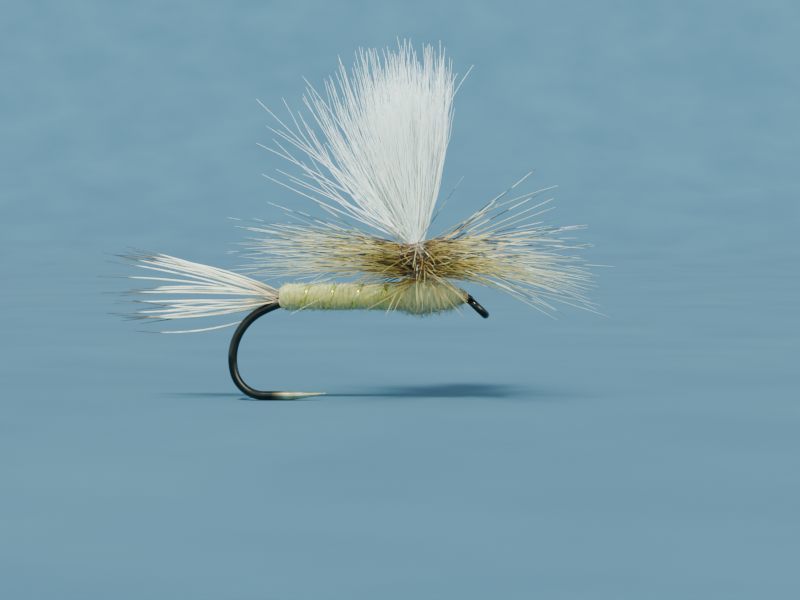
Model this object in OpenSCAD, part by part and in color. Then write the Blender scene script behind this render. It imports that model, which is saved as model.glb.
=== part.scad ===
// Parachute dry fly tied on a size 12 down-eye, barbless hook.
// Millimetres. Origin at the centre of the hook's eye, +X towards the eye end of the
// shank, +Z up towards the wing, the hook in the XZ plane.

/* [Hook] */
// Diameter of the hook wire
wire_d = 0.48; // [0.36:0.02:0.60]
// Gape, from the shank's centre line down to the spear's centre line
gape = 5.2; // [4.6:0.1:6.6]
// Distance from the eye's centre back to where the bend starts
shank_back = 8.31; // [7.0:0.05:10.2]
// Clear bore of the eye
eye_bore_d = 0.72; // [0.6:0.02:0.9]
// Diameter of the wire where it is rolled into the eye
eye_wire_d = 0.41; // [0.34:0.01:0.5]
// Wall length of the bore, pressed flat by the mandrel that the eye is rolled on
eye_land = 0.154; // [0.1:0.002:0.2]
// Angle that the eye is turned down from the shank
eye_tilt = 43; // [30:1:55]
// Bend radius of the neck, between the eye and the shank
neck_r = 0.7; // [0.5:0.05:1]
// Radius of the slow first part of the bend
entry_r = 6.74; // [5.6:0.02:8.1]
// Angle turned by the slow first part
entry_turn = 27; // [24:1:30]
// Radius of the middle part of the bend
bend_r = 2.84; // [2.36:0.02:3]
// Angle turned by the middle part
bend_turn = 78; // [70:1:84]
// Length of the spear, from the bend to the tip of the point
spear_l = 3.32; // [2.8:0.02:4]
// Length that is ground to a point
point_l = 1.96; // [1.6:0.02:2.4]
// Rise of the tip above the spear's centre line
point_lift = 0.12; // [0:0.01:0.2]

/* [Body] */
// Thickness of the layer of thread along the shank
thread_t = 0.05; // [0.03:0.01:0.08]
// Thickness of the abdomen's dubbing over the thread
abdomen_t = 0.40; // [0.32:0.01:0.5]
// How far the abdomen runs past the straight shank onto the bend
abdomen_over = 2.13; // [1.7:0.01:2.6]
// Distance from the eye's centre to the joint of abdomen and thorax
thorax_back = 3.95; // [3.9:0.05:4.6]
// Thickness of the thorax's dubbing over the thread, at its fullest
thorax_t = 0.66; // [0.6:0.01:0.8]
// Distance from the eye's centre to the thorax's front end
thorax_front = 0.95; // [0.92:0.01:1.2]
// Thickness of the thorax's dubbing at its front end
thorax_front_t = 0.2; // [0.15:0.01:0.3]
// Rounding of the abdomen's rear edge
rear_round = 0.2; // [0.1:0.01:0.3]
// Distance along the shank from one turn of the rib to the next
rib_pitch = 1.37; // [1.1:0.01:1.7]
// Width of the rib's flat tinsel
rib_w = 0.3; // [0.2:0.01:0.4]
// Thickness of the tinsel
rib_t = 0.04; // [0.02:0.01:0.06]

/* [Tail] */
// Length of the longest tail fibre
tail_l = 9.2; // [7.6:0.1:11.1]
// Fibres in each of the three tufts
tail_n = 8; // [5:1:10]
// Radius of a fibre
tail_fibre_r = 0.026; // [0.022:0.001:0.028]
// Radius of the bound roots of one tuft
tuft_r = 0.11; // [0.09:0.01:0.13]

/* [Wing] */
// Distance from the eye's centre back to the foot of the wing post
post_back = 2.9; // [2.6:0.05:3.0]
// Radius of the bound hair of the post
post_r = 0.38; // [0.31:0.01:0.46]
// Angle that the post leans back
post_lean = 7.3; // [4:0.1:9]
// Length of the bound part of the post above the shank's centre line
post_h = 2.97; // [2.9:0.01:3.6]
// Length of the free hair above the bound part
wing_l = 10.6; // [8.8:0.1:12.8]
// Hairs in the wing
wing_n = 60; // [30:1:80]
// Angle that the fan of hair leans back
fan_lean = 11.5; // [8:0.5:15]
// Half angle of the fan along the shank
fan_along = 19.5; // [16:0.5:24]
// Half angle of the fan across the shank
fan_across = 13; // [10:0.5:18]
// Radius of one hair
hair_r = 0.03; // [0.024:0.002:0.036]
// Radius of the hair butts tied down along the shank
butt_r = 0.13; // [0.1:0.01:0.15]
// Length of the butts behind the post
butt_l = 1.3; // [1.0:0.05:1.6]

/* [Hackle] */
// Length of the longest hackle barb
barb_l = 9.4; // [7.8:0.1:11.3]
// Radius of a barb
barb_r = 0.028; // [0.02:0.002:0.036]
// Barbs on each feather
barb_n = 37; // [21:4:45]
// Radius of a feather's stem
stem_r = 0.075; // [0.06:0.005:0.08]
// Rise of one turn of a stem
stem_pitch = 0.36; // [0.34:0.01:0.38]
// Height of the first turn above the shank's centre line, along the post
hackle_h = 1.13; // [1.12:0.01:1.3]
// Angle below level of the lowest barbs
barb_low = 14; // [8:1:16]
// Angle above level of the highest barbs
barb_high = 16; // [10:1:22]

/* [Head] */
// Thickness of the thread head over the wire
head_t = 0.17; // [0.12:0.01:0.22]
// Distance from the eye's centre to the front of the thread head
head_front = 0.6; // [0.56:0.01:0.7]
// Thickness of the head cement
cement_t = 0.025; // [0.015:0.005:0.04]

/* [Hidden] */
$fn = 64;
fibre_fn = 32;
seat = 0.004;
// where two lengths of wire meet, one runs on inside the other for a lap, and is thinner
lap = 0.03;
nest = 0.002;
// hairs of a bundle are laid out like the seeds of a sunflower
golden = 137.508;

wire_r = wire_d / 2;
eye_wire_r = eye_wire_d / 2;
eye_bore_r = eye_bore_d / 2;
// the land cuts a chord off the eye's round wire, so the wire's centre lies this far out
eye_r = eye_bore_r + sqrt(pow(eye_wire_r, 2) - pow(eye_land / 2, 2));
shank_z = eye_r * sin(eye_tilt) + neck_r * (1 - cos(eye_tilt));
shank_front_x = -eye_r * cos(eye_tilt) - neck_r * sin(eye_tilt);
shank_rear_x = -shank_back;

// the bend: two arcs of set radius and a heel that makes up the gape
turn_2 = entry_turn + bend_turn;
heel_r = (gape - entry_r * (1 - cos(entry_turn))
    - bend_r * (cos(entry_turn) - cos(turn_2))) / (1 + cos(turn_2));
entry_c = [shank_rear_x, shank_z - entry_r];
bend_c = entry_c + (entry_r - bend_r) * [-sin(entry_turn), cos(entry_turn)];
heel_c = bend_c + (bend_r - heel_r) * [-sin(turn_2), cos(turn_2)];
spear_z = shank_z - gape;
spear_x = heel_c.x;
grind_x = spear_x + spear_l - point_l;
tip_r = 0.012;
// the ground cone starts inside the round wire, just under its surface
grind_lap = 0.06;
grind_in = 0.006;

// layers on the shank
thread_r = wire_r + thread_t;
abdomen_r = thread_r + abdomen_t;
abdomen_x = shank_rear_x - abdomen_over;
joint_x = -thorax_back;
rear_turn = asin(abdomen_over / entry_r);
thorax_r = thread_r + thorax_t;
thorax_front_r = thread_r + thorax_front_t;
thorax_x = -thorax_front;
thorax_full = 0.3;

// tail: one tuft of roots on top of the shank and one on each side
tuft_gap = thread_r + tuft_r + seat;
side_tuft_up = 25;
bind_t = 0.035;
bind_up = 0.08;
bind_under = 0.01;
bind_r = bind_t + tuft_r + norm([tuft_gap * cos(side_tuft_up), tuft_gap * sin(side_tuft_up) - bind_up]);
bind_from = rear_turn - 7.4;
bind_to = rear_turn - 2.9;
tuft_from = rear_turn - 9;
tuft_to = rear_turn + 1;
root_lap = 0.1;

// wing post, its butts and the thread that holds them
post_x = -post_back;
wrap_r = post_r + 0.06;
wrap_h = thread_r + 2 * butt_r + 0.13;
butt_z = shank_z + thread_r + butt_r + seat;
butt_x = post_x - butt_l - post_r;
lash_up = butt_r;
lash_r = thread_r + butt_r + 0.04;
lash_front_x = post_x - post_r / cos(post_lean) - (lash_up + lash_r) * tan(post_lean) - 0.03;
lash_l = 0.45;
dam_x = post_x + post_r + 0.02;
dam_l = 0.35;
dam_r = thread_r + 0.23;

// hackle: two stems wound one above the other
stem_ring_r = wrap_r + stem_r;
stem_half_turns = 8;
// barbs leave a stem a little above its middle
barb_up = 0.01;
stem_tilt = atan(stem_pitch / 4 / stem_ring_r);
stem_arc_r = norm([stem_ring_r, stem_pitch / 4]);
hackle_top = hackle_h + (stem_half_turns + 1) * stem_pitch / 2;
tie_off_h = 0.13;
tie_off_t = 0.07;

// rib: a flat strip wound on the abdomen
rib_steps = 24;
rib_in_r = (abdomen_r + seat) / cos(180 / rib_steps);
rib_x = abdomen_x + rear_round + rib_w / 2 - 0.06;
rib_count = floor(rib_steps * (joint_x - rib_w / 2 - 0.02 - rib_x) / rib_pitch);

// a bar round a centre in the XZ plane, its angles counted from +X towards +Z
function lap_turn(r) = lap / r * 180 / PI;

module arc_bar(centre, r, from, to, bar_r, side = 0) {
    translate([centre.x, 0, centre.y])
        rotate([90, 0, 0]) rotate([0, 0, from])
            rotate_extrude(angle = to - from)
                translate([r, -side]) circle(bar_r);
}

// a bar beside the first part of the bend, in angles turned from the shank's end
module bend_bar(bar_r, from, to, up = 0, side = 0) {
    arc_bar(entry_c, entry_r + up, 90 + from, 90 + to, bar_r, side);
}

module along_x(x, z, l, r1, r2) {
    translate([x, 0, z]) rotate([0, 90, 0]) cylinder(h = l, r1 = r1, r2 = r2);
}

// one hair or barb from point a to point b
module fibre(a, b, r) {
    d = b - a;
    translate(a) rotate([0, acos(d.z / norm(d)), atan2(d.y, d.x)])
        cylinder(h = norm(d), r = r, $fn = fibre_fn);
}

module on_post(h = 0) {
    translate([post_x, 0, shank_z]) rotate([0, -post_lean, 0]) translate([0, 0, h]) children();
}

// the straight shank with everything out to radius r
module shank_bar(r, front_x) {
    along_x(shank_rear_x, shank_z, front_x - shank_rear_x, r, r);
}

module eye_ring() {
    rotate([0, eye_tilt, 0])
        rotate_extrude()
            intersection() {
                translate([eye_r, 0]) circle(eye_wire_r);
                translate([eye_bore_r, -eye_wire_r]) square(2 * eye_wire_r);
            }
}

module hook() {
    neck_c = [shank_front_x, shank_z - neck_r];
    color("#1d1c19") {
        eye_ring();
        arc_bar(neck_c, neck_r, 90 - eye_tilt, 90 + lap_turn(neck_r), eye_wire_r - nest);
        along_x(thorax_x - lap, shank_z, shank_front_x - thorax_x + lap, wire_r - nest, eye_wire_r);
        shank_bar(wire_r, thorax_x);
        bend_bar(wire_r - nest, -lap_turn(entry_r), entry_turn);
        arc_bar(bend_c, bend_r, 90 + entry_turn - lap_turn(bend_r), 90 + turn_2, wire_r - 2 * nest);
        arc_bar(heel_c, heel_r, 90 + turn_2 - lap_turn(heel_r), 270 + lap_turn(heel_r),
            wire_r - 3 * nest);
        along_x(spear_x, spear_z, grind_x - spear_x, wire_r, wire_r);
        translate([grind_x - grind_lap, 0, spear_z])
            rotate([0, 90 - atan(point_lift / point_l), 0])
                cylinder(h = norm([point_l + grind_lap, point_lift]), r1 = wire_r - grind_in, r2 = tip_r);
    }
}

module thread_underwrap() {
    l = thorax_x - shank_rear_x;
    color("#8f8a5c") {
        translate([shank_rear_x, 0, shank_z]) rotate([0, 90, 0]) difference() {
            cylinder(h = l, r = thread_r);
            translate([0, 0, -1]) cylinder(h = l + 2, r = wire_r);
        }
        translate([entry_c.x, 0, entry_c.y]) rotate([90, 0, 0]) rotate([0, 0, 90])
            rotate([0, 0, -lap_turn(entry_r)]) rotate_extrude(angle = rear_turn + lap_turn(entry_r))
                translate([entry_r, 0]) difference() {
                    circle(thread_r - nest);
                    circle(wire_r + nest);
                }
    }
}

// the bound roots of a tuft, at an angle up from level, on either side of the shank
module tuft_roots(up_angle) {
    bend_bar(tuft_r, tuft_from, tuft_to, tuft_gap * sin(up_angle), tuft_gap * cos(up_angle));
}

// a tuft: its roots and the fibres that spread from their rear end
module tail_tuft(up_angle, rise, spread, seed) {
    far = entry_r + tuft_gap * sin(up_angle);
    root = [entry_c.x - far * sin(tuft_to), tuft_gap * cos(up_angle), entry_c.y + far * cos(tuft_to)];
    length = rands(0.9, 1, tail_n, seed);
    tuft_roots(up_angle);
    for (i = [0 : tail_n - 1]) {
        // one fibre in the middle and the others in a ring round it
        turn = i * 360 / (tail_n - 1);
        out = i == 0 ? [0, 0] : [cos(turn), sin(turn)];
        a = (spread[0] + spread[1] + (spread[1] - spread[0]) * out.x) / 2;
        e = (rise[0] + rise[1] + (rise[1] - rise[0]) * out.y) / 2;
        start = root + [root_lap, 0.62 * tuft_r * out.x, 0.62 * tuft_r * out.y];
        fibre(start, start + tail_l * length[i] * [-cos(e) * cos(a), cos(e) * sin(a), sin(e)],
            tail_fibre_r);
    }
}

module tail_tuft_top() {
    color("#e9e4d2") tail_tuft(90, [9, 21], [-9, 9], 11);
}

module tail_tuft_left() {
    color("#e4dec9") tail_tuft(side_tuft_up, [-13, 6], [3, 16], 23);
}

module tail_tuft_right() {
    color("#e4dec9") tail_tuft(180 - side_tuft_up, [-11, 7], [-16, -3], 37);
}

// the binding with all it goes round, kept under the abdomen's surface
module binding_bar() {
    intersection() {
        bend_bar(bind_r, bind_from, bind_to, bind_up);
        along_x(abdomen_x, shank_z, joint_x - abdomen_x, abdomen_r - bind_under, abdomen_r - bind_under);
    }
}

module tail_binding() {
    color("#9a9467") difference() {
        binding_bar();
        bend_bar(thread_r, 0, rear_turn);
        for (a = [90, side_tuft_up, 180 - side_tuft_up]) tuft_roots(a);
    }
}

// everything that is bound on the shank under the dubbing
module bound_core() {
    shank_bar(thread_r, thorax_x);
    bend_bar(thread_r - nest, -lap_turn(entry_r), rear_turn + 2);
    for (a = [90, side_tuft_up, 180 - side_tuft_up]) tuft_roots(a);
    binding_bar();
    wing_butts();
    lashing_bar();
}

module abdomen() {
    l = joint_x - abdomen_x;
    arc = [for (a = [0 : 15 : 90]) rear_round * [1 - cos(a), sin(a)]];
    profile = concat([[0, 0]], [for (p = arc) [abdomen_r - rear_round + p.y, p.x]],
        [[abdomen_r, l], [0, l]]);
    color("#c6c48c") difference() {
        translate([abdomen_x, 0, shank_z]) rotate([0, 90, 0]) rotate_extrude() polygon(profile);
        bound_core();
    }
}

module rib() {
    function corner(i, along, out) = let (a = i * 360 / rib_steps) [
        rib_x + rib_pitch * i / rib_steps + along,
        out * sin(a), shank_z + out * cos(a)];
    points = [for (i = [0 : rib_count])
        each [for (c = [[0, 0], [1, 0], [1, 1], [0, 1]])
            corner(i, (c.x - 0.5) * rib_w, rib_in_r + c.y * rib_t)]];
    sides = [for (i = [0 : rib_count - 1], k = [0 : 3]) let (n = (k + 1) % 4)
        each [[4 * i + k, 4 * i + 4 + n, 4 * i + n], [4 * i + k, 4 * i + 4 + k, 4 * i + 4 + n]]];
    last = 4 * rib_count;
    color("#dfe6a6")
        polyhedron(points, concat([[0, 1, 2, 3]], sides, [[last + 3, last + 2, last + 1, last]]));
}

// the hair's butts on top of the shank, cut off at a slant
module wing_butts() {
    difference() {
        along_x(butt_x, butt_z, post_x - butt_x, butt_r, butt_r);
        translate([butt_x, 0, butt_z - butt_r]) rotate([0, -60, 0])
            translate([-4 * butt_r, -2 * butt_r, 0]) cube([8 * butt_r, 4 * butt_r, 4 * butt_r]);
    }
}

module wing_post_hair() {
    length = rands(0.93, 1.03, wing_n, 5);
    color("#eef1ee") {
        difference() {
            on_post() cylinder(h = post_h, r = post_r);
            shank_bar(thread_r, thorax_x);
        }
        wing_butts();
        on_post(post_h) for (i = [0 : wing_n - 1]) {
            out = sqrt((i + 0.5) / wing_n);
            along = post_lean - fan_lean + fan_along * out * cos(i * golden);
            across = fan_across * out * sin(i * golden);
            start = (post_r - hair_r) * out * [cos(i * golden), sin(i * golden), 0];
            way = [tan(along), tan(across), 1];
            fibre(start - 0.05 * way, start + way * wing_l * length[i] / norm(way), hair_r);
        }
    }
}

// the lashing with the shank and the butts that it goes round
module lashing_bar() {
    along_x(lash_front_x - lash_l, shank_z + lash_up, lash_l, lash_r, lash_r);
}

module wing_lashing() {
    color("#8f8a5c") difference() {
        lashing_bar();
        shank_bar(thread_r, thorax_x);
        wing_butts();
    }
}

module thread_dam() {
    color("#8f8a5c") difference() {
        along_x(dam_x, shank_z, dam_l, dam_r, thread_r + 0.03);
        shank_bar(thread_r, thorax_x);
    }
}

module post_wraps() {
    color("#7b6a3a") on_post(wrap_h) difference() {
        cylinder(h = post_h - wrap_h, r = wrap_r);
        translate([0, 0, -1]) cylinder(h = post_h + 1, r = post_r);
    }
}

module hackle_tie_off() {
    color("#6f5b2e") on_post(hackle_h - stem_r - seat - tie_off_h) difference() {
        cylinder(h = tie_off_h, r = wrap_r + tie_off_t);
        translate([0, 0, -1]) cylinder(h = tie_off_h + 2, r = wrap_r);
    }
}

// a feather wound round the post: its stem in half turns, and barbs out of the stem
module hackle(first_h, azimuth, seed) {
    length = rands(0.92, 1, barb_n, seed);
    on_post() {
        for (k = [0 : stem_half_turns - 1])
            translate([0, 0, first_h + (k + 0.5) * stem_pitch / 2]) rotate([0, stem_tilt, 180 * k])
                rotate_extrude(angle = 180) translate([stem_arc_r, 0]) circle(stem_r);
        // the rounded ends are a little thinner than the stem, so that they cross its end and not just touch it
        translate([stem_ring_r, 0, first_h]) sphere(stem_r - nest);
        translate([stem_ring_r, 0, first_h + stem_half_turns * stem_pitch / 2]) sphere(stem_r - nest);
        for (i = [0 : barb_n - 1]) {
            u = (i + azimuth) * stem_half_turns / barb_n;
            turn = 180 * u;
            part = u - floor(u);
            h = first_h + stem_pitch / 2 * (floor(u) + (1 - cos(180 * part)) / 2);
            level = (h - hackle_h) / (hackle_top - hackle_h);
            // barbs that point back lie on the abdomen and can't hang below level
            low = -barb_low * (1 - pow(max(0, -cos(turn)), 6));
            e = low + (barb_high - low) * level - post_lean * cos(turn);
            root = [stem_ring_r * cos(turn), stem_ring_r * sin(turn), h + barb_up];
            fibre(root, root + barb_l * length[i] * [cos(e) * cos(turn), cos(e) * sin(turn), sin(e)],
                barb_r);
        }
    }
}

module ginger_hackle() {
    color("#b08a45") hackle(hackle_h, 0.3, 3);
}

module grizzly_hackle() {
    color("#bdbbaa") hackle(hackle_h + stem_pitch / 2, 0.7, 8);
}

// fullness of the thorax at t, from 0 at the abdomen to 1 at the head
function thorax_at(t) = t < thorax_full
    ? abdomen_r + (thorax_r - abdomen_r) * (1 - cos(180 * t / thorax_full)) / 2
    : thorax_front_r + (thorax_r - thorax_front_r)
        * (1 + cos(180 * (t - thorax_full) / (1 - thorax_full))) / 2;

module thorax() {
    l = thorax_x - joint_x;
    steps = 20;
    profile = concat([[0, 0]], [for (i = [0 : steps]) [thorax_at(i / steps), l * i / steps]], [[0, l]]);
    color("#a9a97d") difference() {
        translate([joint_x, 0, shank_z]) rotate([0, 90, 0]) rotate_extrude() polygon(profile);
        shank_bar(thread_r, 0);
        wing_butts();
        lashing_bar();
        along_x(dam_x, shank_z, dam_l, dam_r, thread_r + 0.03);
        on_post() cylinder(h = post_h, r = post_r);
        on_post(wrap_h) cylinder(h = post_h, r = wrap_r);
        on_post(hackle_h - stem_r - seat - tie_off_h) cylinder(h = post_h, r = wrap_r + tie_off_t);
    }
}

// the head's outline, grown by a thickness
module head_shape(grow) {
    along_x(thorax_x, shank_z, thorax_front - head_front + grow, wire_r + head_t + grow,
        wire_r + head_t / 2 + grow);
}

module head_thread() {
    color("#6d6236") difference() {
        head_shape(0);
        hook();
    }
}

module head_cement() {
    color("#b9a86a") difference() {
        head_shape(cement_t);
        head_shape(0);
        hook();
    }
}

hook();
thread_underwrap();
tail_tuft_top();
tail_tuft_left();
tail_tuft_right();
tail_binding();
abdomen();
rib();
wing_post_hair();
wing_lashing();
thread_dam();
post_wraps();
hackle_tie_off();
ginger_hackle();
grizzly_hackle();
thorax();
head_thread();
head_cement();
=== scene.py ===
# %% [markdown]
# # A dry fly, modelled piece by piece
# A dry fly is a bent steel hook, a few turns of thread, some dubbed fur and a great many hairs. The
# imported CAD model fixes where each piece sits. This lesson keeps that frame and rebuilds most pieces
# as what they are: drawn wire, laid thread, spun fur and single hairs; three thread pieces keep their
# CAD shape with a new finish. Sizes are written in millimetres and turned into metres in one place.

import math
import random

import bpy
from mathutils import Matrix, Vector


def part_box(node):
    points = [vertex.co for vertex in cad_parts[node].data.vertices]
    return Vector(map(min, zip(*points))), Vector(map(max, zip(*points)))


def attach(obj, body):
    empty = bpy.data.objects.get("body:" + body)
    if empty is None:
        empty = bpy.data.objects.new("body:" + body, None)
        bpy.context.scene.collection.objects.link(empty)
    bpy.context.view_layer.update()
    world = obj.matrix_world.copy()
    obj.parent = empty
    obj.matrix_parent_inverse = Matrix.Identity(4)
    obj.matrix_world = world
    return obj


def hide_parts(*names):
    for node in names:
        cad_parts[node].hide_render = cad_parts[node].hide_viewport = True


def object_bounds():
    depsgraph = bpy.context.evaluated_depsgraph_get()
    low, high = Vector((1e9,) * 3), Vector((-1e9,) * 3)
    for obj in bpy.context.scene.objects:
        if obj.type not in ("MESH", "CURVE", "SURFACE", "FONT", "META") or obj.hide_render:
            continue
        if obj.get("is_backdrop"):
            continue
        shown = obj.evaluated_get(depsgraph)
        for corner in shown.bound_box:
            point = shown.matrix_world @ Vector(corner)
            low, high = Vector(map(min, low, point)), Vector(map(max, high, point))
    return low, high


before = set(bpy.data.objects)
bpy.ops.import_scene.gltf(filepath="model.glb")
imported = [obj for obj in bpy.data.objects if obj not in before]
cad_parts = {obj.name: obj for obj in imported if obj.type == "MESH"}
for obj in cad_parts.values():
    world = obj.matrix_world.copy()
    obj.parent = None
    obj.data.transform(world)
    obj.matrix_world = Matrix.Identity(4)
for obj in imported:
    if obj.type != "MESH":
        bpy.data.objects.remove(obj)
cad_low, cad_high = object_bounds()
print("CAD box in mm:", [round(v * 1000, 2) for v in (*cad_low, *cad_high)])

# %% [markdown]
# ## Units and small helpers
# All the modelling below is in millimetres. A mesh made of millimetres is written with a factor MM.
# Everything is deselected before an operator runs, because an operator acts on all that is selected.

# %% Units and selection
MM = 0.001


def mm_box(node):
    """The box of a CAD node in millimetres: its lowest and highest corners."""
    low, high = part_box(node)
    return low / MM, high / MM


def pick(*objects):
    """Selects only these objects, and makes the first one active."""
    bpy.ops.object.select_all(action="DESELECT")
    for obj in objects:
        obj.select_set(True)
    bpy.context.view_layer.objects.active = objects[0]


def edit(obj, mode="VERT"):
    """Opens one object in edit mode with nothing selected."""
    pick(obj)
    bpy.ops.object.mode_set(mode="EDIT")
    bpy.ops.mesh.select_mode(type=mode)
    bpy.ops.mesh.select_all(action="DESELECT")


def close_up(obj):
    """Merges doubles, fills open ends and turns every face outwards."""
    edit(obj)
    bpy.ops.mesh.select_all(action="SELECT")
    bpy.ops.mesh.remove_doubles(threshold=1e-8)
    bpy.ops.mesh.fill_holes(sides=0)
    bpy.ops.mesh.normals_make_consistent(inside=False)
    bpy.ops.object.mode_set(mode="OBJECT")


def settle(obj, name, material, slot, *nodes):
    """Gives a finished piece its name, its material, its origin and its part in the frame."""
    pick(obj)
    bpy.ops.object.transform_apply(location=True, rotation=True, scale=True)
    bpy.ops.object.shade_smooth()
    obj.name = obj.data.name = name
    if not obj.data.materials:
        obj.data.materials.append(material)
    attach(obj, "root")
    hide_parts(*nodes)
    faces = sum(len(p.vertices) - 2 for p in obj.data.polygons)
    print(f"{name}: {faces} triangles")


# %% [markdown]
# ## Colours and shader nodes
# Colours are written as sRGB hex, the way a paint chart gives them, and one function turns them into
# the linear values that shaders use. One other function adds a node with its settings and links.

# %% Colour and node helpers
def tone(code):
    """An sRGB hex colour as linear red, green, blue and alpha."""
    parts = [int(code[i:i + 2], 16) / 255 for i in (1, 3, 5)]
    return tuple(c / 12.92 if c <= 0.04045 else ((c + 0.055) / 1.055) ** 2.4 for c in parts) + (1.0,)


def add(tree, kind, links=None, stops=None, **settings):
    """Adds a node. links gives inputs a value or another node's output, stops fill a colour ramp."""
    node = tree.nodes.new(kind)
    for name, value in settings.items():
        setattr(node, name, value)
    for name, value in (links or {}).items():
        if isinstance(value, bpy.types.NodeSocket):
            tree.links.new(value, node.inputs[name])
        else:
            node.inputs[name].default_value = value
    if stops:
        ramp = node.color_ramp
        for element, (place, code) in zip(ramp.elements, (stops[0], stops[-1])):
            element.position, element.color = place, tone(code)
        for place, code in stops[1:-1]:
            ramp.elements.new(place).color = tone(code)
    return node


def new_material(name, **sockets):
    """A material with values set on its shader, and its tree and shader to link more to."""
    material = bpy.data.materials.new(name)
    material.use_nodes = True
    shader = material.node_tree.nodes["Principled BSDF"]
    for key, value in sockets.items():
        shader.inputs[key.replace("_", " ")].default_value = value
    return material, material.node_tree, shader


def grain(size):
    """The scale of a noise whose grain is this many millimetres across."""
    return 1 / (size * MM)


# %% [markdown]
# ## The hook's wire: bronzed high-carbon steel
# Hook wire is drawn, bent, hardened and then bronzed or browned in an oxide bath. The oxide is almost
# black with a warm edge, and glossy like old lacquer. The spear is painted a pale gold, partly a thin
# gold lacquer and partly a painted reflection of bright surroundings. Metal keeps the default IOR.

# %% Bronzed steel
steel, tree, shader = new_material("bronzed_high_carbon_steel", Metallic=1.0, Roughness=0.24,
                                   Coat_Weight=0.45, Coat_Roughness=0.05)
where = add(tree, "ShaderNodeTexCoord").outputs["Object"]
split = add(tree, "ShaderNodeSeparateXYZ", {0: where})
cloud = add(tree, "ShaderNodeTexNoise", {"Vector": where, "Scale": grain(0.8), "Detail": 3.0})
oxide = add(tree, "ShaderNodeValToRGB", {"Fac": cloud.outputs["Fac"]},
            [(0.3, "#20231d"), (0.5, "#2b2d25"), (0.7, "#3a3a2f")])
# the spear's pale gold, up to near white: partly a gold lacquer, partly painted reflection of bright
# surroundings
spear_lacquer_and_painted_reflection = add(tree, "ShaderNodeValToRGB", {"Fac": cloud.outputs["Fac"]},
              [(0.3, "#94855a"), (0.55, "#d2c69a"), (0.75, "#f4eed2")])
# the lacquer and the painted reflection are on the spear only: they fade in from x -10.9 to -10.1 mm and
# from z -3.6 to -4.1 mm
ahead = add(tree, "ShaderNodeMapRange", {"Value": split.outputs["X"], "From Min": -10.9 * MM,
                                         "From Max": -10.1 * MM})
below = add(tree, "ShaderNodeMapRange", {"Value": split.outputs["Z"], "From Min": -3.6 * MM,
                                         "From Max": -4.1 * MM})
spear = add(tree, "ShaderNodeMath", {0: ahead.outputs[0], 1: below.outputs[0]}, operation="MULTIPLY")
skin = add(tree, "ShaderNodeMix", {0: spear.outputs[0], 6: oxide.outputs[0], 7: spear_lacquer_and_painted_reflection.outputs[0]},
           data_type="RGBA")
tree.links.new(skin.outputs[2], shader.inputs["Base Color"])
wear = add(tree, "ShaderNodeMapRange", {"Value": cloud.outputs["Fac"], "To Min": 0.13, "To Max": 0.22})
tree.links.new(wear.outputs[0], shader.inputs["Roughness"])
# drawing marks are about 0.03 mm apart; they are drawn as a grain of 0.05 mm so that they show
marks = add(tree, "ShaderNodeTexNoise", {"Vector": where, "Scale": grain(0.05), "Detail": 2.0})
dents = add(tree, "ShaderNodeBump", {"Height": marks.outputs["Fac"], "Strength": 0.25,
                                     "Distance": 0.004 * MM})
tree.links.new(dents.outputs[0], shader.inputs["Normal"])
print("made", steel.name)

# %% [markdown]
# ## The hook: one length of wire bent in a few arcs
# The real hook is one wire, so it is modelled as one: a circle is extruded along the shank, and spun
# round the centre of each bend in turn, as bending pins would do it. The point is ground to a needle.
# The eye is a ring, turned down 43 degrees, whose end stops just short of the wire.

# %% Hook sizes, in millimetres
WIRE_R = 0.24
EYE_WIRE_R, EYE_R, EYE_TILT = 0.205, 0.55, math.radians(43)
NECK_R = 0.7
RING_START, RING_SWEEP = math.radians(12), math.radians(338)   # the eye's wire, round the eye
SHANK_Z = EYE_R * math.sin(EYE_TILT) + NECK_R * (1 - math.cos(EYE_TILT))
SHANK_FRONT = -EYE_R * math.cos(EYE_TILT) - NECK_R * math.sin(EYE_TILT)
SHANK_REAR, GAPE = -8.31, 5.2
BENDS = [(6.74, 27), (2.84, 78)]            # radius and degrees of the first two arcs
SPEAR, POINT, POINT_LIFT, TIP_R = 3.32, 1.96, 0.12, 0.012
turned = math.radians(BENDS[0][1] + BENDS[1][1])
heel_drop = GAPE - BENDS[0][0] * (1 - math.cos(math.radians(BENDS[0][1]))) \
    - BENDS[1][0] * (math.cos(math.radians(BENDS[0][1])) - math.cos(turned))
HEEL_R = heel_drop / (math.cos(turned) + 1)
print("shank at z", round(SHANK_Z, 3), "heel radius", round(HEEL_R, 3))

# %% The wire, from the neck to the point
bpy.ops.object.select_all(action="DESELECT")
bpy.ops.mesh.primitive_circle_add(vertices=28, radius=WIRE_R * MM, fill_type="NOTHING",
                                  location=(SHANK_FRONT * MM, 0, SHANK_Z * MM),
                                  rotation=(0, math.pi / 2, 0))
hook = bpy.context.object
bpy.ops.object.transform_apply(location=True, rotation=True, scale=True)
edit(hook)
bpy.ops.mesh.select_all(action="SELECT")
bpy.ops.mesh.extrude_region_move(
    TRANSFORM_OT_translate={"value": ((SHANK_REAR - SHANK_FRONT) * MM, 0, 0)})
centre, heading = Vector((SHANK_REAR, 0, SHANK_Z)), 0.0
for radius, degrees in BENDS + [(HEEL_R, 180 - sum(d for r, d in BENDS))]:
    # the centre of each arc lies square to the wire, on the inner side of the bend
    inward = Vector((math.sin(heading), 0, -math.cos(heading)))
    pin = centre + inward * radius
    bpy.ops.mesh.spin(steps=max(8, degrees // 3), angle=math.radians(degrees), center=pin * MM,
                      axis=(0, 1, 0))
    heading += math.radians(degrees)
    centre = pin - Vector((math.sin(heading), 0, -math.cos(heading))) * radius
spear_z = centre.z
bpy.ops.mesh.extrude_region_move(TRANSFORM_OT_translate={"value": ((SPEAR - POINT) * MM, 0, 0)})
rings, last_r, last_lift = 10, WIRE_R, 0.0
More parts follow.
